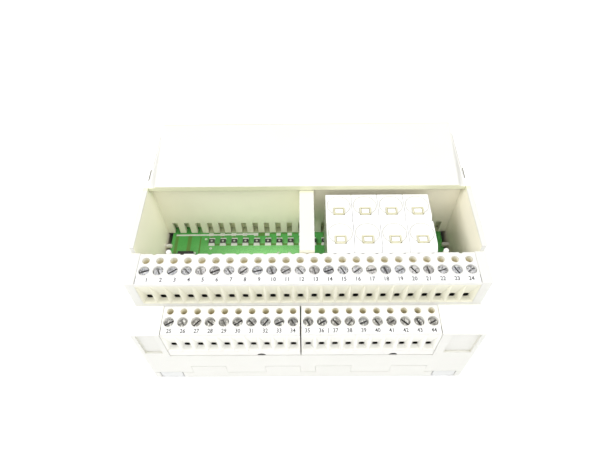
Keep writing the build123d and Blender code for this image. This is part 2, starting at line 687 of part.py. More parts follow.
def relay_base(x, y):
    """Base plate with its blades, and the coil that stands on it."""
    half_x = RELAY_W / 2 - 0.05
    half_y = RELAY_D / 2 - 0.05
    z = SOCKET_TOP
    base = block(x - half_x, x + half_x, y - half_y, y + half_y, z + 0.1, z + 1.8)
    base += block(x - 3.8, x + 3.8, y - 5.2, y + 5.2, z + 1.5, z + 3.0)
    base += post(x, y, z + 2.5, z + 18.0, 3.4)
    base += block(x - 3.8, x + 3.8, y - 5.2, y + 5.2, z + 17.0, z + 18.2)
    for dx, dy in RELAY_PINS:
        px, py = x + dx, y + dy
        base += block(px - 0.9, px + 0.9, py - 0.25, py + 0.25, z - 3.6, z + 0.5)
    return base


def relay_socket(x, y):
    socket = block(x - 4.7, x + 4.7, y - 6.3, y + 4.4, BOARD_TOP + 0.05, SOCKET_TOP)
    for dx, dy in RELAY_PINS:
        px, py = x + dx, y + dy
        socket -= block(px - 1.3, px + 1.3, py - 0.65, py + 0.65, BOARD_TOP, SOCKET_TOP + 1)
    return socket


def socket_contacts(x, y):
    """Spring clips below the relay's blades, with a tail through the board."""
    clips = []
    for dx, dy in RELAY_PINS:
        px, py = x + dx, y + dy
        clip = block(px - 1.1, px + 1.1, py - 0.4, py + 0.4, BOARD_TOP + 0.1, BOARD_TOP + 2.6)
        clips.append(clip + post(px, py, BOARD_TOP - 2.8, BOARD_TOP + 1, 0.5))
    return clips


# ---- Rail latches ----
def rail_latch(x):
    """Sliding foot with a pull tab at the front and a nose under the rail."""
    z_top = RAIL_DEPTH - 0.2
    nose_tip = -RAIL_HALF + LATCH_NOSE
    outline = [
        (FRONT + 4.6, 1.5),
        (-RAIL_HALF, 1.5),
        (nose_tip, 2.9),
        (nose_tip, 4.2),
        (-RAIL_HALF, 4.25),
        (-RAIL_HALF, z_top),
        (FRONT + 4.6, z_top),
    ]
    latch = side_extrusion(outline, x - LATCH_HALF, x + LATCH_HALF)
    tab = block(x - LATCH_HALF, x + LATCH_HALF, FRONT, FRONT + 4.8, 0.3, z_top)
    tab = fillet(tab.edges().filter_by(Axis.Y).group_by(Axis.Z)[0], 1.6)
    latch += tab
    latch += block(x - 3.3, x + 3.3, FRONT + 4.0, -RAIL_HALF - 1.0, 0.3, 2.0)
    latch -= block(x - 2.6, x + 2.6, SPRING_Y[0] - 1.4, SPRING_Y[1] + 0.1, 0.9, z_top + 1)
    # Driver slot in the tab
    latch -= block(x - 2.0, x + 2.0, FRONT + 1.5, FRONT + 3.0, -1, 4.0)
    return latch


def latch_spring(x):
    """Bow spring between the latch and the tray."""
    y0, y1 = SPRING_Y
    mid = (y0 + y1) / 2
    strips = []
    for low, high, bend in ((y0 + 0.6, mid - 0.2, 1.7), (mid + 0.2, y1 - 0.6, -1.7)):
        centre = (low + high) / 2
        arc = ThreePointArc((x - bend, low), (x + bend, centre), (x - bend, high))
        wire = offset(arc, 0.16, side=Side.BOTH)
        strips.append(Pos(0, 0, 2.2) * extrude(make_face(wire), amount=2.2))
    return strips


# ---- Build every node ----
save("base_tray", base_tray())
save("main_housing", main_housing())
save("top_hood", top_hood())
save("main_board", main_board())
save("board_screws", board_screws())
save("input_leds", input_leds())
save("led_lenses", led_lenses())
save("interface_chips", interface_chips())
save("logic_board", logic_board())
save("board_standoffs", board_standoffs())
save("stacking_connector", stacking_connector())
save("processor_chip", processor_chip())
save("supply_capacitors", supply_capacitors())

save("upper_block_body", upper_block_body())
save("upper_clamp_screws", clamp_screws(UPPER_XS, UPPER_SCREW_Y, BLOCK_Z, UPPER_SUNK, 20))
save("upper_wire_clamps", wire_clamps(UPPER_XS, UPPER_SCREW_Y, BLOCK_Z))
save("upper_contact_pins", upper_contact_pins())
save("upper_marker_strip", marker_strip(-60.7, 60.7, MARKER_UPPER, BLOCK_Z))

for side, middle in PLUG_MIDS.items():
    plug_xs = centred_row(PLUG_COUNT, PITCH, middle)
    start_angle = 30 if side == "left" else 115
    save(f"{side}_plug_body", plug_body(middle))
    save(f"{side}_plug_screws", clamp_screws(plug_xs, PLUG_SCREW_Y, LEDGE_Z, PLUG_SUNK, start_angle))
    save(f"{side}_plug_clamps", wire_clamps(plug_xs, PLUG_SCREW_Y, LEDGE_Z))
    save(f"{side}_plug_marker", marker_strip(middle - 25.2, middle + 25.2, MARKER_PLUG, LEDGE_Z))
    save(f"{side}_plug_header", plug_header(middle))
    save(f"{side}_header_pins", header_pins(middle))

save("relay_sockets", [relay_socket(x, y) for x, y in relay_places()])
save("socket_contacts", [clip for x, y in relay_places() for clip in socket_contacts(x, y)])
for number, (x, y) in enumerate(relay_places(), start=1):
    save(f"relay_{number}_case", relay_case(x, y))
    save(f"relay_{number}_base", relay_base(x, y))
    save(f"relay_{number}_window", relay_window(x, y))

for side, sign in (("left", -1), ("right", 1)):
    save(f"{side}_rail_latch", rail_latch(sign * LATCH_X))
    save(f"{side}_latch_spring", latch_spring(sign * LATCH_X))
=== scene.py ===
import math
import bpy
import bmesh
from mathutils import Matrix, Vector


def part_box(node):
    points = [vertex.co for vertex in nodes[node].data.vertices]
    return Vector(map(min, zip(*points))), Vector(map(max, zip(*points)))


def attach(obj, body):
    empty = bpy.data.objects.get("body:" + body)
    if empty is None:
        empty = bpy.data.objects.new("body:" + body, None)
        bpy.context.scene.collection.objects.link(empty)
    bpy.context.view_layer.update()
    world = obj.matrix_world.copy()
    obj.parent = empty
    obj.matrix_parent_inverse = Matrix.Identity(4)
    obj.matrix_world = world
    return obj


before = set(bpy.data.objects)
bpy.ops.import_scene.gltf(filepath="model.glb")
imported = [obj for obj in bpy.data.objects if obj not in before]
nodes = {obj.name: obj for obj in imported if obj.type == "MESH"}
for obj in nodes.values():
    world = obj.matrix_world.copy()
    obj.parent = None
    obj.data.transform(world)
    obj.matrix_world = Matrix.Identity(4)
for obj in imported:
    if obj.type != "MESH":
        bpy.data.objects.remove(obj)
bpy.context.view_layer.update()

# Sizes are in millimetres, as in the CAD source, and MM turns them into metres.
MM = 0.001
PITCH = 5.08                    # of the screw terminals
UPPER_COUNT = 24
PLUG_COUNT = 10
UPPER_XS = [(i - (UPPER_COUNT - 1) / 2) * PITCH for i in range(UPPER_COUNT)]
LEDGE_Z = 41.4                  # top of the lower step and of the plugs
LIP_FRONT = 11.6                # front edge of the hood
HOOD_SIDE = 62.7
BAY_HALF = 62.9                 # inner faces of the bay
BAY_Y = (-17.6, 17.5)
BAY_Z = (20.0, 60.3)
BOARD_TOP = 26.0


# ---- Camera ----
CAMERA_PLACE = (-0.92, -117.55, 206.26)
CAMERA_TURN = (52.83, -0.85, -1.05)     # pitch down, yaw and roll in degrees
SENSOR_WIDTH = 36.0
LENS = 29.505


def make_camera():
    """Viewpoint above the front, looking down at the terminals."""
    pitch, yaw, roll = (math.radians(angle) for angle in CAMERA_TURN)
    forward = Vector((math.sin(yaw) * math.cos(pitch), math.cos(yaw) * math.cos(pitch), -math.sin(pitch)))
    level = Vector((math.cos(yaw), -math.sin(yaw), 0.0))
    upright = level.cross(forward)
    right = math.cos(roll) * level + math.sin(roll) * upright
    up = math.cos(roll) * upright - math.sin(roll) * level
    data = bpy.data.cameras.new("camera")
    data.sensor_width = SENSOR_WIDTH
    data.lens = LENS
    data.clip_start = 0.01
    data.clip_end = 20.0
    camera = bpy.data.objects.new("camera", data)
    bpy.context.scene.collection.objects.link(camera)
    turn = Matrix((right, up, -forward)).transposed().to_4x4()
    camera.matrix_world = Matrix.Translation(Vector(CAMERA_PLACE) * MM) @ turn
    bpy.context.scene.camera = camera


# ---- Light, floor and tone ----
WORLD_STRENGTH = 0.56
SOFTBOXES = (
    # name, place (m), size (m), watts, colour
    ("over", (0.00, 0.02, 0.95), (0.7, 0.6), 0.8, (1.0, 1.0, 0.99)),
    ("front", (0.00, -0.72, 0.72), (0.7, 0.5), 3.4, (1.0, 1.0, 1.0)),
    ("right", (0.75, -0.15, 0.65), (0.5, 0.5), 4.7, (1.0, 1.0, 1.0)),
    ("left", (-0.75, -0.15, 0.65), (0.5, 0.5), 6.4, (1.0, 1.0, 1.0)),
)
LIT_POINT = (0.0, 0.0, 0.03)
FLOOR_TONES = ((0.90, 0.90, 0.90), (0.93, 0.93, 0.93))
FLOOR_HALF = 3.0
FLOOR_DROP = 0.0002             # below the object, so that faces do not coincide


def area_light(name, place, target, size, power, colour):
    data = bpy.data.lights.new(name, "AREA")
    data.shape = "RECTANGLE"
    data.size, data.size_y = size
    data.energy = power
    data.color = colour
    light = bpy.data.objects.new(name, data)
    bpy.context.scene.collection.objects.link(light)
    light.location = Vector(place)
    light.rotation_euler = (Vector(target) - Vector(place)).to_track_quat("-Z", "Y").to_euler()


def make_studio():
    scene = bpy.context.scene
    scene.view_settings.view_transform = "Standard"
    scene.view_settings.look = "None"
    world = bpy.data.worlds.new("studio")
    world.use_nodes = True
    background = world.node_tree.nodes["Background"]
    background.inputs["Color"].default_value = (1.0, 1.0, 1.0, 1)
    background.inputs["Strength"].default_value = WORLD_STRENGTH
    scene.world = world
    for name, place, size, watts, colour in SOFTBOXES:
        area_light(name, place, LIT_POINT, size, watts, colour)

    bm = bmesh.new()
    bmesh.ops.create_grid(bm, x_segments=2, y_segments=2, size=FLOOR_HALF)
    floor = add_object("studio_floor", bm)
    floor.location.z = -FLOOR_DROP
    g = Graph("floor_paper", FLOOR_TONES[0], 0.9)
    fibres = g.noise(900, 4, 0.6)
    g.colour(g.mix(fibres, *FLOOR_TONES))
    g.bump(fibres, 0.05, 0.05)
    floor.data.materials.append(g.material)


# ---- Node graphs ----
AO_SAMPLES = 6


class Graph:
    """A Principled material and short names for the nodes that feed it."""

    def __init__(self, name, base, roughness, metallic=0.0):
        self.material = bpy.data.materials.new(name)
        self.material.use_nodes = True
        self.tree = self.material.node_tree
        self.shader = self.tree.nodes["Principled BSDF"]
        self.shader.inputs["Base Color"].default_value = (*base, 1)
        self.shader.inputs["Roughness"].default_value = roughness
        self.shader.inputs["Metallic"].default_value = metallic
        self.material.diffuse_color = (*base, 1)
        self.place = self.add("ShaderNodeTexCoord").outputs["Object"]
        self.normal = None

    def add(self, kind, **inputs):
        node = self.tree.nodes.new(kind)
        for key, value in inputs.items():
            self.feed(node.inputs[key], value)
        return node

    def feed(self, socket, value):
        if isinstance(value, bpy.types.NodeSocket):
            self.tree.links.new(value, socket)
        elif isinstance(value, tuple) and len(value) == 3 and socket.type == "RGBA":
            socket.default_value = (*value, 1)
        else:
            socket.default_value = value

    def noise(self, scale, detail, roughness, stretch=None):
        vector = self.place
        if stretch:
            vector = self.add("ShaderNodeMapping", Vector=self.place, Scale=stretch).outputs[0]
        node = self.add(
            "ShaderNodeTexNoise", Vector=vector, Scale=scale, Detail=detail, Roughness=roughness
        )
        return node.outputs["Fac"]

    def ramp(self, value, low, high, start=0.0, end=1.0):
        """value from low..high, spread over start..end."""
        node = self.add("ShaderNodeMapRange", Value=value)
        limits = {"From Min": low, "From Max": high, "To Min": start, "To Max": end}
        for name, number in limits.items():
            node.inputs[name].default_value = number
        return node.outputs["Result"]

    def math(self, operation, a, b=0.0):
        node = self.add("ShaderNodeMath")
        node.operation = operation
        self.feed(node.inputs[0], a)
        self.feed(node.inputs[1], b)
        return node.outputs[0]

    def mix(self, factor, a, b):
        node = self.add("ShaderNodeMix")
        node.data_type = "RGBA"
        self.feed(node.inputs["Factor"], factor)
        self.feed(node.inputs[6], a)
        self.feed(node.inputs[7], b)
        return node.outputs[2]

    def axis(self, letter):
        return self.add("ShaderNodeSeparateXYZ", Vector=self.place).outputs[letter]

    def recess_shade(self, distance, own=True):
        """1 in the open, towards 0 in corners and recesses, of the part's own or of all parts."""
        node = self.add("ShaderNodeAmbientOcclusion", Distance=distance * MM)
        node.samples = AO_SAMPLES
        node.only_local = own
        return node.outputs["AO"]

    def within(self, letter, low, high, soft=0.1):
        """1 between two limits in mm along an axis, 0 outside them."""
        along = self.axis(letter)
        rise = self.ramp(along, low * MM, (low + soft) * MM)
        fall = self.ramp(along, high * MM, (high - soft) * MM)
        return self.math("MULTIPLY", rise, fall)

    def inside(self, x_limits, y_limits, z_limits, soft=(0.1, 0.1, 0.1)):
        """1 inside a box with limits in mm, 0 outside it."""
        mask = self.within("X", *x_limits, soft[0])
        mask = self.math("MULTIPLY", mask, self.within("Y", *y_limits, soft[1]))
        return self.math("MULTIPLY", mask, self.within("Z", *z_limits, soft[2]))

    def upright(self):
        """1 on upright faces, 0 on faces that look up."""
        facing = self.add("ShaderNodeTexCoord").outputs["Normal"]
        return self.ramp(self.add("ShaderNodeSeparateXYZ", Vector=facing).outputs["Z"], 0.8, 0.5)

    def per_terminal(self, seed):
        """A number of its own for each screw: the plugs' columns stand half a pitch off the upper ones."""
        upper = self.ramp(self.axis("Z"), (LEDGE_Z + 1) * MM, (LEDGE_Z + 2) * MM)
        shift = self.ramp(upper, 0.0, 1.0, PITCH / 2 * MM, 0.0)
        shifted = self.math("ADD", self.axis("X"), shift)
        column = self.math("FLOOR", self.math("DIVIDE", shifted, PITCH * MM))
        row_start = self.math("MULTIPLY", upper, 50.0)
        node = self.add("ShaderNodeTexWhiteNoise")
        node.noise_dimensions = "1D"
        self.feed(node.inputs["W"], self.math("ADD", self.math("ADD", row_start, column), seed))
        return node.outputs["Value"]

    def colour(self, value):
        self.feed(self.shader.inputs["Base Color"], value)

    def rough(self, value):
        self.feed(self.shader.inputs["Roughness"], value)

    def round_edges(self, radius):
        self.normal = self.add("ShaderNodeBevel", Radius=radius * MM).outputs[0]
        self.feed(self.shader.inputs["Normal"], self.normal)

    def bump(self, height, strength, depth):
        node = self.add("ShaderNodeBump", Height=height, Strength=strength, Distance=depth * MM)
        if self.normal is not None:
            self.feed(node.inputs["Normal"], self.normal)
        self.normal = node.outputs[0]
        self.feed(self.shader.inputs["Normal"], self.normal)

    def set(self, name, value):
        self.feed(self.shader.inputs[name], value)


def moulded(
    name, light, dark, recess_shade, rough, grain=0.12,
    bay_bounce_tone=None, painted_shading=(), dark_boxes=(), covered=(),
):
    """Spark-textured moulded plastic, between two tones, with a third tone painted as shade in its
    recesses.

    bay_bounce_tone is the warm tone painted on the bay's upright walls for the light bounced round the bay.
    painted_shading holds (x limits, y limits, z limits, colour) in mm of painted light and shade,
    dark_boxes the limits of unlit holes, painted black, and covered the limits of places painted black as
    shaded only as long as another part stands over them.
    """
    g = Graph(name, light, sum(rough) / 2)
    cloud = g.noise(42, 3, 0.55)
    speck = g.noise(1900, 2, 0.6)
    shade = g.mix(g.ramp(cloud, 0.3, 0.7), light, dark)
    shade = g.mix(g.ramp(speck, 0.35, 0.65, 0.0, 0.35), shade, dark)
    # painted shade: the recess tone is laid into corners and recesses by their occlusion
    unshaded = g.ramp(g.recess_shade(2.5), 0.2, 0.75)
    shade = g.mix(unshaded, recess_shade, shade)
    # painted light: the bay's upright walls take a warm tone for the light bounced round the bay
    if bay_bounce_tone:
        bay = g.inside((-BAY_HALF, BAY_HALF), BAY_Y, BAY_Z, (0.05, 0.6, 0.6))
        bay_bounce = g.mix(g.ramp(cloud, 0.3, 0.7), bay_bounce_tone, tuple(0.97 * c for c in bay_bounce_tone))
        shade = g.mix(g.math("MULTIPLY", bay, g.upright()), shade, bay_bounce)
    # painted light and shade, one box at a time
    for *limits, colour in painted_shading:
        shade = g.mix(g.inside(*limits), shade, colour)
    # painted shade: black in the unlit holes, and in the notches only while a plug stands over them
    for boxes, own in ((dark_boxes, True), (covered, False)):
        if boxes:
            closed = g.ramp(g.recess_shade(5.0, own), 0.93, 0.78)
        for limits in boxes:
            mask = g.inside(*limits, (0.1, 0.3, 0.1))
            shade = g.mix(g.math("MULTIPLY", mask, closed), shade, BLACK)
    g.colour(shade)
    g.rough(g.ramp(g.noise(260, 4, 0.6), 0.3, 0.7, *rough))
    g.set("Specular IOR Level", 0.45)
    g.round_edges(0.14)
    g.bump(g.noise(3400, 2, 0.5), grain, 0.03)
    return g.material


def metal(name, bright, dull, rough):
    """Plain metal with dull stains."""
    g = Graph(name, bright, sum(rough) / 2, 1.0)
    stain = g.noise(1300, 4, 0.65)
    g.colour(g.mix(g.ramp(stain, 0.35, 0.75, 0.0, 0.6), bright, dull))
    g.rough(g.ramp(g.noise(2600, 3, 0.6), 0.3, 0.7, *rough))
    g.round_edges(0.06)
    g.bump(g.noise(5200, 2, 0.6), 0.12, 0.02)
    return g.material


def screw_metal():
    """Zinc-plated screws, each weathered to its own tint and darker on the plugs, with painted highlight
    streaks and painted shade in their slots and round their rims.
    """
    g = Graph("screw_zinc", (0.55, 0.56, 0.58), 0.4, 1.0)
    tint = g.mix(g.per_terminal(0.0), (0.80, 0.82, 0.87), (0.95, 0.90, 0.84))
    tint = g.mix(g.ramp(g.per_terminal(7.0), 0.35, 1.0, 0.0, 0.8), tint, (0.40, 0.40, 0.42))
    lower = g.ramp(g.axis("Z"), (LEDGE_Z + 2) * MM, (LEDGE_Z + 1) * MM, 0.0, 0.62)
    tint = g.mix(lower, tint, (0.26, 0.255, 0.25))
    stain = g.noise(1300, 4, 0.75)
    tint = g.mix(g.ramp(stain, 0.46, 0.60, 0.0, 0.8), tint, (0.13, 0.125, 0.12))
    # painted highlight: pale streaks across the heads
    painted_glint = g.noise(1900, 2, 0.5, (1.0, 0.45, 1.0))
    tint = g.mix(g.ramp(painted_glint, 0.55, 0.64, 0.0, 0.9), tint, (1.0, 0.99, 0.97))
    # painted shade: near black in the slots and round the rims
    unshaded = g.ramp(g.recess_shade(0.8), 0.25, 0.75)
    g.colour(g.mix(unshaded, (0.07, 0.065, 0.06), tint))
    g.rough(g.ramp(g.noise(2400, 3, 0.6), 0.3, 0.7, 0.25, 0.6))
    g.round_edges(0.12)
    g.bump(g.noise(3200, 3, 0.7, (1.0, 0.3, 1.0)), 0.6, 0.06)
    return g.material


def laminate():
    """Green solder mask over the glass weave, with a painted sheen on the open board, painted shading
    behind the comb, and a tan edge.
    """
    g = Graph("board_green", (0.08, 0.36, 0.10), 0.35)
    cloud = g.noise(90, 3, 0.55)
    mask = g.mix(g.ramp(cloud, 0.3, 0.7), (0.08, 0.41, 0.08), (0.115, 0.46, 0.11))
    # painted sheen: a paler green, laid from the left towards the middle of the open board
    painted_sheen = g.mix(g.ramp(cloud, 0.3, 0.7), (0.36, 0.88, 0.33), (0.41, 0.91, 0.37))
    from_left = g.ramp(g.axis("X"), -52 * MM, -28 * MM)
    sheen_area = g.math("MULTIPLY", from_left, g.ramp(g.axis("Y"), 12 * MM, 4 * MM))
    sheen_area = g.math("MULTIPLY", sheen_area, g.ramp(g.axis("X"), 0.0, -4 * MM))
    mask = g.mix(g.math("MULTIPLY", sheen_area, 0.85), mask, painted_sheen)
    weave = g.noise(2200, 2, 0.5)
    mask = g.mix(g.ramp(weave, 0.4, 0.6, 0.0, 0.3), mask, (0.05, 0.30, 0.06))
    # painted shading: olive-grey in place of green on the board seen through the comb's slots
    rear = g.ramp(g.axis("Y"), 14.8 * MM, 15.2 * MM)
    behind_comb = g.math("MULTIPLY", rear, g.ramp(g.axis("X"), -49 * MM, -46 * MM))
    mask = g.mix(behind_comb, mask, (0.60, 0.66, 0.42))
    side = g.math("LESS_THAN", g.axis("Z"), (BOARD_TOP - 0.04) * MM)
    g.colour(g.mix(side, mask, (0.34, 0.30, 0.14)))
    g.rough(g.ramp(g.noise(600, 3, 0.6), 0.3, 0.7, 0.28, 0.42))
    g.set("Specular IOR Level", 0.5)
    g.bump(g.noise(2400, 2, 0.5), 0.08, 0.02)
    return g.material


def simple(name, base, other, rough, scale, grain=0.1):
    """Smooth material that wanders between two tones."""
    g = Graph(name, base, sum(rough) / 2)
    spots = g.noise(scale, 4, 0.6)
    g.colour(g.mix(g.ramp(spots, 0.35, 0.7), base, other))
    g.rough(g.ramp(g.noise(scale * 3, 3, 0.6), 0.3, 0.7, *rough))
    g.set("Specular IOR Level", 0.5)
    g.bump(g.noise(scale * 8, 2, 0.5), grain, 0.02)
    return g.material


# ---- Mesh helpers ----
NUMBER_SIZE = 2.3
NUMBER_NARROW = 0.86
NUMBER_WEIGHT = 0.045           # added to the strokes
INK = 0.01


def add_object(name, bm):
    bmesh.ops.recalc_face_normals(bm, faces=bm.faces)
    mesh = bpy.data.meshes.new(name)
    bm.to_mesh(mesh)
    bm.free()
    for face in mesh.polygons:
        face.use_smooth = False
    obj = bpy.data.objects.new(name, mesh)
    bpy.context.scene.collection.objects.link(obj)
    return obj


def piece(name, bm, body, material):
    """A new piece of the object that rides on a body."""
    obj = add_object(name, bm)
    obj.data.materials.append(material)
    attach(obj, body)


def add_block(bm, x0, x1, y0, y1, z0, z1, bevel=0.0):
    """Box between limits in mm, with its edges rounded."""
    made = bmesh.ops.create_cube(bm, size=1.0)["verts"]
    size = Vector((x1 - x0, y1 - y0, z1 - z0)) * MM
    middle = Vector((x0 + x1, y0 + y1, z0 + z1)) * MM / 2
    for v in made:
        v.co = Vector((v.co.x * size.x, v.co.y * size.y, v.co.z * size.z)) + middle
    if bevel:
        edges = list({e for v in made for e in v.link_edges})
        bmesh.ops.bevel(bm, geom=edges, offset=bevel * MM, segments=2, affect="EDGES", profile=0.5)


def join_outlines(bm, first, second):
    """Cap two outlines of as many vertices, and join them with side faces."""
    count = len(first)
    bm.faces.new(first)
    bm.faces.new(second)
    for i in range(count):
        j = (i + 1) % count
        bm.faces.new((first[i], first[j], second[j], second[i]))


def add_prism(bm, outline, z0, z1):
    """Upright prism on a closed outline in mm."""
    low = [bm.verts.new(Vector((x, y, z0)) * MM) for x, y in outline]
    high = [bm.verts.new(Vector((x, y, z1)) * MM) for x, y in outline]
    join_outlines(bm, low, high)


def add_side_prism(bm, outline, x0, x1):
    """Prism along X on a closed outline of (y, z) in mm."""
    left = [bm.verts.new(Vector((x0, y, z)) * MM) for y, z in outline]
    right = [bm.verts.new(Vector((x1, y, z)) * MM) for y, z in outline]
    join_outlines(bm, left, right)


def add_ring(bm, x, y, z0, z1, inner, outer):
    """Flat ring with a hole."""
    count = 20
    turn = [2 * math.pi * i / count for i in range(count)]
    rims = []
    for z, radius in ((z0, inner), (z0, outer), (z1, outer), (z1, inner)):
        rim = [(x + radius * math.cos(a), y + radius * math.sin(a), z) for a in turn]
        rims.append([bm.verts.new(Vector(point) * MM) for point in rim])
    for a, b in zip(rims, rims[1:] + rims[:1]):
        for i in range(count):
            j = (i + 1) % count
            bm.faces.new((a[i], a[j], b[j], b[i]))


def add_ribbon(bm, points, width, z0, z1):
    """Flat track of even width along points, with mitred corners."""
    left, right = [], []
    last = len(points) - 1
    for i, point in enumerate(points):
        here = Vector(point)
        before = (here - Vector(points[i - 1])).normalized() if i else None
        after = (Vector(points[i + 1]) - here).normalized() if i < last else None
        along = ((before or after) + (after or before)).normalized()
        across = Vector((-along.y, along.x))
        reference = after or before
        reach = width / 2 / max(0.3, abs(across.dot(Vector((-reference.y, reference.x)))))
        left.append(here + across * reach)
        right.append(here - across * reach)
    add_prism(bm, [tuple(p) for p in left] + [tuple(p) for p in reversed(right)], z0, z1)


def add_text(bm, text, x, y, z):
    """A printed number, lying on z and raised by the thickness of the ink."""
    curve = bpy.data.curves.new("number", "FONT")
    curve.body = text
    curve.size = NUMBER_SIZE
    curve.align_x = "CENTER"
    curve.align_y = "CENTER"
    curve.extrude = INK
    curve.offset = NUMBER_WEIGHT
    curve.resolution_u = 2
    helper = bpy.data.objects.new("number", curve)
    bpy.context.scene.collection.objects.link(helper)
    dg = bpy.context.evaluated_depsgraph_get()
    mesh = bpy.data.meshes.new_from_object(helper.evaluated_get(dg))
    to_metres = Matrix.Diagonal((NUMBER_NARROW * MM, MM, MM, 1))
    mesh.transform(Matrix.Translation(Vector((x, y, z)) * MM) @ to_metres)
    bm.from_mesh(mesh)
    bpy.data.meshes.remove(mesh)
    bpy.data.objects.remove(helper)
    bpy.data.curves.remove(curve)


# ---- Materials by the record's slots ----
# Light tone, dark tone and the tone painted as shade in the recesses
SHELL_TONES = ((0.68, 0.678, 0.645), (0.665, 0.662, 0.625), (0.64, 0.63, 0.53))
# painted shading: the cream tone of the lip's front
LIP_SHADING = (0.765, 0.765, 0.56)
BLACK = (0.006, 0.006, 0.005)
# Limits in x, y and z of the holes painted black for the shade inside them
ALL_X = (-70.0, 70.0)
WIRE_HOLES = [(ALL_X, (-28.4, -21.5), (44.25, 46.75)), (ALL_X, (-40.2, -33.5), (28.15, 30.65))]
# the notches under the plugs, painted black for their shade
PLUG_NOTCHES = [((x - 1.72, x + 1.72), (-42.0, -37.0), (22.0, 24.6)) for x in (-17.9, 33.2)]
# Places of painted light and shade, again by their limits
HOUSING_PAINTED_SHADING = [
    # painted shading on the wall behind the comb, painted light on the lower ledge and the cheeks' tops,
    # and the lip's painted shading on their front corners
    ((-BAY_HALF, BAY_HALF), (17.8, 19.2), (26.0, 37.6), (0.80, 0.83, 0.55)),
    (ALL_X, (-42.4, -30.0), (LEDGE_Z - 0.15, LEDGE_Z + 0.2), (0.765, 0.762, 0.71)),
    (ALL_X, (LIP_FRONT + 0.4, 42.4), (60.2, 60.6), (0.96, 0.958, 0.94)),
    (ALL_X, (LIP_FRONT - 1.2, LIP_FRONT + 0.4), (58.0, 60.6), LIP_SHADING),
]
TERMINAL_PAINTED_SHADING = [
    # painted shading on the funnelled fronts of the upper block and of the plugs, painted light in the gap
    # between the plugs, and painted shade in black in their notches
    (ALL_X, (-30.6, -27.9), (43.0, 55.9), (0.74, 0.725, 0.605)),
    (ALL_X, (-42.4, -39.7), (27.3, 40.3), (0.80, 0.795, 0.745)),
    ((-2.95, -2.13), (-41.9, -30.0), (22.0, 41.2), (0.97, 0.90, 0.80)),
    *((*limits, BLACK) for limits in PLUG_NOTCHES),
]
HOOD_PAINTED_SHADING = [
    # painted shading on the lip, painted shade on the rear edge and painted light on the two sides
    (ALL_X, (LIP_FRONT - 1.0, LIP_FRONT + 0.3), (58.0, 61.2), LIP_SHADING),
    (ALL_X, (41.3, 42.5), (60.0, 68.0), (0.62, 0.60, 0.46)),
    ((-HOOD_SIDE - 0.3, -HOOD_SIDE + 0.4), (LIP_FRONT + 0.3, 42.5), (60.0, 68.0), (0.96, 0.95, 0.89)),
    ((HOOD_SIDE - 0.4, HOOD_SIDE + 0.3), (LIP_FRONT + 0.3, 42.5), (60.0, 68.0), (0.96, 0.95, 0.89)),
]


def slot_materials():
    return {
        # painted light: the warm tone on the bay's walls; the boxes add painted light and shade
        "housing_plastic": moulded(
            "housing_shell", *SHELL_TONES, (0.42, 0.56), bay_bounce_tone=(0.965, 0.92, 0.755),
            painted_shading=HOUSING_PAINTED_SHADING, covered=PLUG_NOTCHES,
        ),
        "terminal_plastic": moulded(
            "terminal_shell", (0.715, 0.712, 0.685), (0.695, 0.69, 0.655), (0.90, 0.82, 0.56), (0.36, 0.5),
            painted_shading=TERMINAL_PAINTED_SHADING, dark_boxes=WIRE_HOLES,
        ),
        "relay_plastic": moulded(
            "relay_shell", (0.80, 0.80, 0.79), (0.785, 0.785, 0.77), (0.74, 0.73, 0.64), (0.22, 0.32), 0.05
        ),
        # painted shade: the cream-olive tones stand for the shaded sides of a white frame
        "window_plastic": moulded(
            "relay_window_frame", (0.72, 0.70, 0.54), (0.60, 0.57, 0.38), (0.30, 0.27, 0.12),
            (0.3, 0.4), 0.05
        ),
        "marker_plastic": moulded(
            "marker_film", (0.80, 0.80, 0.795), (0.785, 0.785, 0.78), (0.72, 0.715, 0.68), (0.3, 0.4), 0.05
        ),
        "latch_plastic": moulded(
            "latch_shell", (0.645, 0.652, 0.645), (0.625, 0.632, 0.625), (0.60, 0.61, 0.595), (0.38, 0.5)
        ),
        "screw_steel": screw_metal(),
        "contact_metal": metal("tinned_contact", (0.74, 0.74, 0.72), (0.58, 0.57, 0.54), (0.25, 0.42)),
        "board_laminate": laminate(),
        "black_plastic": simple("black_body", (0.018, 0.018, 0.02), (0.03, 0.03, 0.03), (0.32, 0.5), 700),
        "lens_plastic": simple(
            "lamp_lens", (0.56, 0.56, 0.53), (0.46, 0.46, 0.43), (0.15, 0.25), 900, 0.03
        ),
        "socket_plastic": simple(
            "socket_body", (0.035, 0.035, 0.04), (0.05, 0.05, 0.055), (0.38, 0.52), 600
        ),
        "can_aluminium": metal("can_aluminium", (0.78, 0.78, 0.79), (0.68, 0.68, 0.70), (0.28, 0.4)),
        "spring_steel": metal("spring_steel", (0.50, 0.50, 0.52), (0.36, 0.35, 0.35), (0.25, 0.4)),
    }


def node_materials():
    """Nodes that differ from the rest of their slot."""
    # the wire clamps are made near black
    near_black_clamp = metal("dark_clamp", (0.030, 0.030, 0.032), (0.015, 0.015, 0.015), (0.5, 0.7))
    return {
        "top_hood": moulded("hood_shell", *SHELL_TONES, (0.42, 0.56), painted_shading=HOOD_PAINTED_SHADING),
        "input_leds": simple("lamp_body", (0.045, 0.045, 0.047), (0.07, 0.07, 0.07), (0.35, 0.5), 900),
        "upper_wire_clamps": near_black_clamp,
        "left_plug_clamps": near_black_clamp,
        "right_plug_clamps": near_black_clamp,
    }


def dress_nodes(materials, exceptions):
    """Give each CAD node its own material, or else the material of its slot."""
    for name, obj in nodes.items():
        for holder in obj.material_slots:
            slot_name = holder.material.name.split(".")[0]
            holder.material = exceptions.get(name) or materials[slot_name]


# ---- Numbers on the marker strips ----
NUMBER_FORWARD = 0.15           # printed a little in front of the strip's middle
DIVIDER_HALF = (0.12, 1.0)      # line after the second number of the right plug


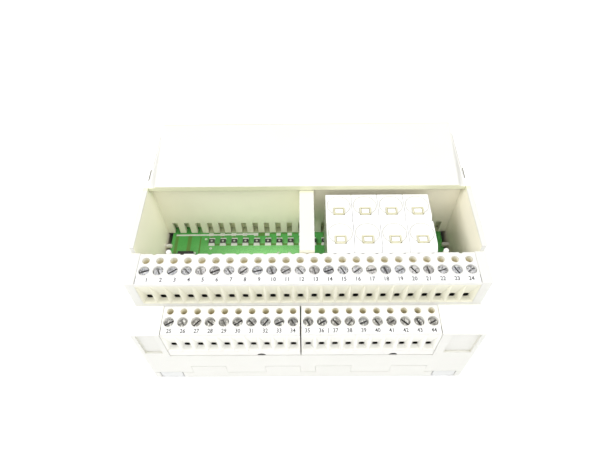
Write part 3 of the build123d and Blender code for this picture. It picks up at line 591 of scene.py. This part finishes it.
def make_numbers(ink):
    """Terminal numbers, in rows a little shorter than the rows of screws."""
    left_first, right_first = (
        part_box(f"{side}_plug_marker")[0].x / MM + PITCH / 2 for side in ("left", "right")
    )
    rows = (
        # piece, body, strip, count, place of the first, pitch, first number
        ("upper_numbers", "housing", "upper_marker_strip", UPPER_COUNT, UPPER_XS[0] + 1.7, 4.967, 1),
        ("left_plug_numbers", "left_plug", "left_plug_marker", PLUG_COUNT, left_first + 0.5, 5.0, 25),
        ("right_plug_numbers", "right_plug", "right_plug_marker", PLUG_COUNT, right_first - 0.5, PITCH, 35),
    )
    for name, body, strip, count, start, pitch, first in rows:
        low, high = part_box(strip)
        y = (low.y + high.y) / 2 / MM - NUMBER_FORWARD
        top = high.z / MM
        bm = bmesh.new()
        for i in range(count):
            add_text(bm, str(first + i), start + i * pitch, y, top + INK)
        if body == "right_plug":
            x = start + 1.5 * pitch
            half_x, half_y = DIVIDER_HALF
            add_block(bm, x - half_x, x + half_x, y - half_y, y + half_y, top, top + 2 * INK)
        piece(name, bm, body, ink)


# ---- Circuit board details in the open bay ----
TRACKS = (
    # route and width
    ([(-58.4, 14.2), (-58.4, 4.0), (-57.0, -4.0), (-57.0, -14.0)], 1.4),
    ([(-52.6, 13.2), (-52.6, 5.5), (-50.8, -6.0)], 1.7),
    ([(-47.7, 12.8), (-47.7, 2.0), (-45.0, -7.0)], 0.6),
)
BUS = [(-59.0, 13.6), (-40.0, 13.75), (-22.8, 14.1)]
VIAS = ((-45.3, 11.4), (-42.7, 6.3), (-49.5, 3.9), (-12.5, 3.7), (-7.6, 3.7))
VIA_RADII = (0.2, 0.55)
LAMP_XS = [-42.5 + 5.05 * i for i in range(12)]
LAMP_Y = (8.8, 10.9)            # front and rear ends of the lamp bodies
PAD_Y = (7.72, 12.0)            # outer ends of their pads
PAD_TOP = BOARD_TOP + 0.07
FIRST_SLOT = 3                  # terminal above the first tinned pad of the bus


def make_board_details():
    track = simple("covered_track", (0.10, 0.27, 0.05), (0.13, 0.24, 0.05), (0.3, 0.4), 300)
    tin = simple("pad_tin", (0.80, 0.81, 0.76), (0.70, 0.72, 0.66), (0.3, 0.45), 800)
    top = BOARD_TOP

    # Tracks under the mask, and a dark patch on the bus
    bm = bmesh.new()
    for route, width in TRACKS:
        add_ribbon(bm, route, width, top, top + 0.04)
    add_ribbon(bm, [(-44.0, 8.4), (14.0, 8.4)], 1.0, top, top + 0.035)
    for x in LAMP_XS:
        add_ribbon(bm, [(x - 0.4, 11.5), (x - 0.2, 14.3)], 0.7, top, top + 0.05)
    for x in UPPER_XS[FIRST_SLOT:FIRST_SLOT + 8]:
        add_ribbon(bm, [(x + 1.3, 14.35), (x + PITCH - 1.3, 14.4)], 0.55, top, top + 0.05)
    add_block(bm, -21.6, -18.8, 13.1, 15.0, top, top + 0.06)
    piece("board_tracks", bm, "housing", track)

    # Pads of the lamps, with a fillet of solder up each end
    bm = bmesh.new()
    front, rear = LAMP_Y
    heel, toe = front + 0.02, rear - 0.02
    front_fillet = [(7.9, PAD_TOP), (heel, PAD_TOP), (heel, top + 0.78), (front - 0.3, top + 0.4)]
    rear_fillet = [(11.5, PAD_TOP), (toe, PAD_TOP), (toe, top + 0.8), (rear + 0.2, top + 0.4)]
    for x in LAMP_XS:
        add_block(bm, x - 1.38, x + 1.38, PAD_Y[0], front + 0.1, top, PAD_TOP)
        add_side_prism(bm, front_fillet, x - 1.22, x + 1.22)
        add_block(bm, x - 1.3, x + 1.3, rear - 0.1, PAD_Y[1], top, PAD_TOP)
        add_side_prism(bm, rear_fillet, x - 1.2, x + 1.2)
    piece("lamp_solder", bm, "housing", tin)

    # Tinned bus with its pads
    bm = bmesh.new()
    add_ribbon(bm, BUS, 0.8, top, top + 0.12)
    for x in UPPER_XS[FIRST_SLOT:FIRST_SLOT + 9]:
        add_block(bm, x - 1.0, x + 1.0, 13.1, 14.7, top, top + 0.10, 0.04)
    piece("bus_strip", bm, "housing", tin)

    bm = bmesh.new()
    for x, y in VIAS:
        add_ring(bm, x, y, top, top + 0.09, *VIA_RADII)
    piece("board_vias", bm, "housing", tin)


# ---- Pale panes in the relay windows ----
PANE_INSET = 0.7
PANE_FRONT_INSET = 0.8
PANE_DEPTHS = (0.32, 0.08)      # underside and top, below the window's top
PANE_BEVEL = 0.06


def make_relay_panes(material):
    for number in range(1, 9):
        low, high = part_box(f"relay_{number}_window")
        x0, x1, y0, y1, top = (v / MM for v in (low.x, high.x, low.y, high.y, high.z))
        bm = bmesh.new()
        add_block(
            bm, x0 + PANE_INSET, x1 - PANE_INSET, y0 + PANE_FRONT_INSET, y1 - PANE_INSET,
            top - PANE_DEPTHS[0], top - PANE_DEPTHS[1], PANE_BEVEL,
        )
        piece(f"relay_{number}_pane", bm, f"relay_{number}", material)


make_camera()
make_studio()
dress_nodes(slot_materials(), node_materials())
make_numbers(simple("label_ink", (0.03, 0.03, 0.033), (0.08, 0.08, 0.08), (0.5, 0.6), 1500))
make_board_details()
make_relay_panes(
    moulded("pane", (0.93, 0.93, 0.91), (0.91, 0.91, 0.88), (0.86, 0.84, 0.72), (0.15, 0.25), 0.02)
)
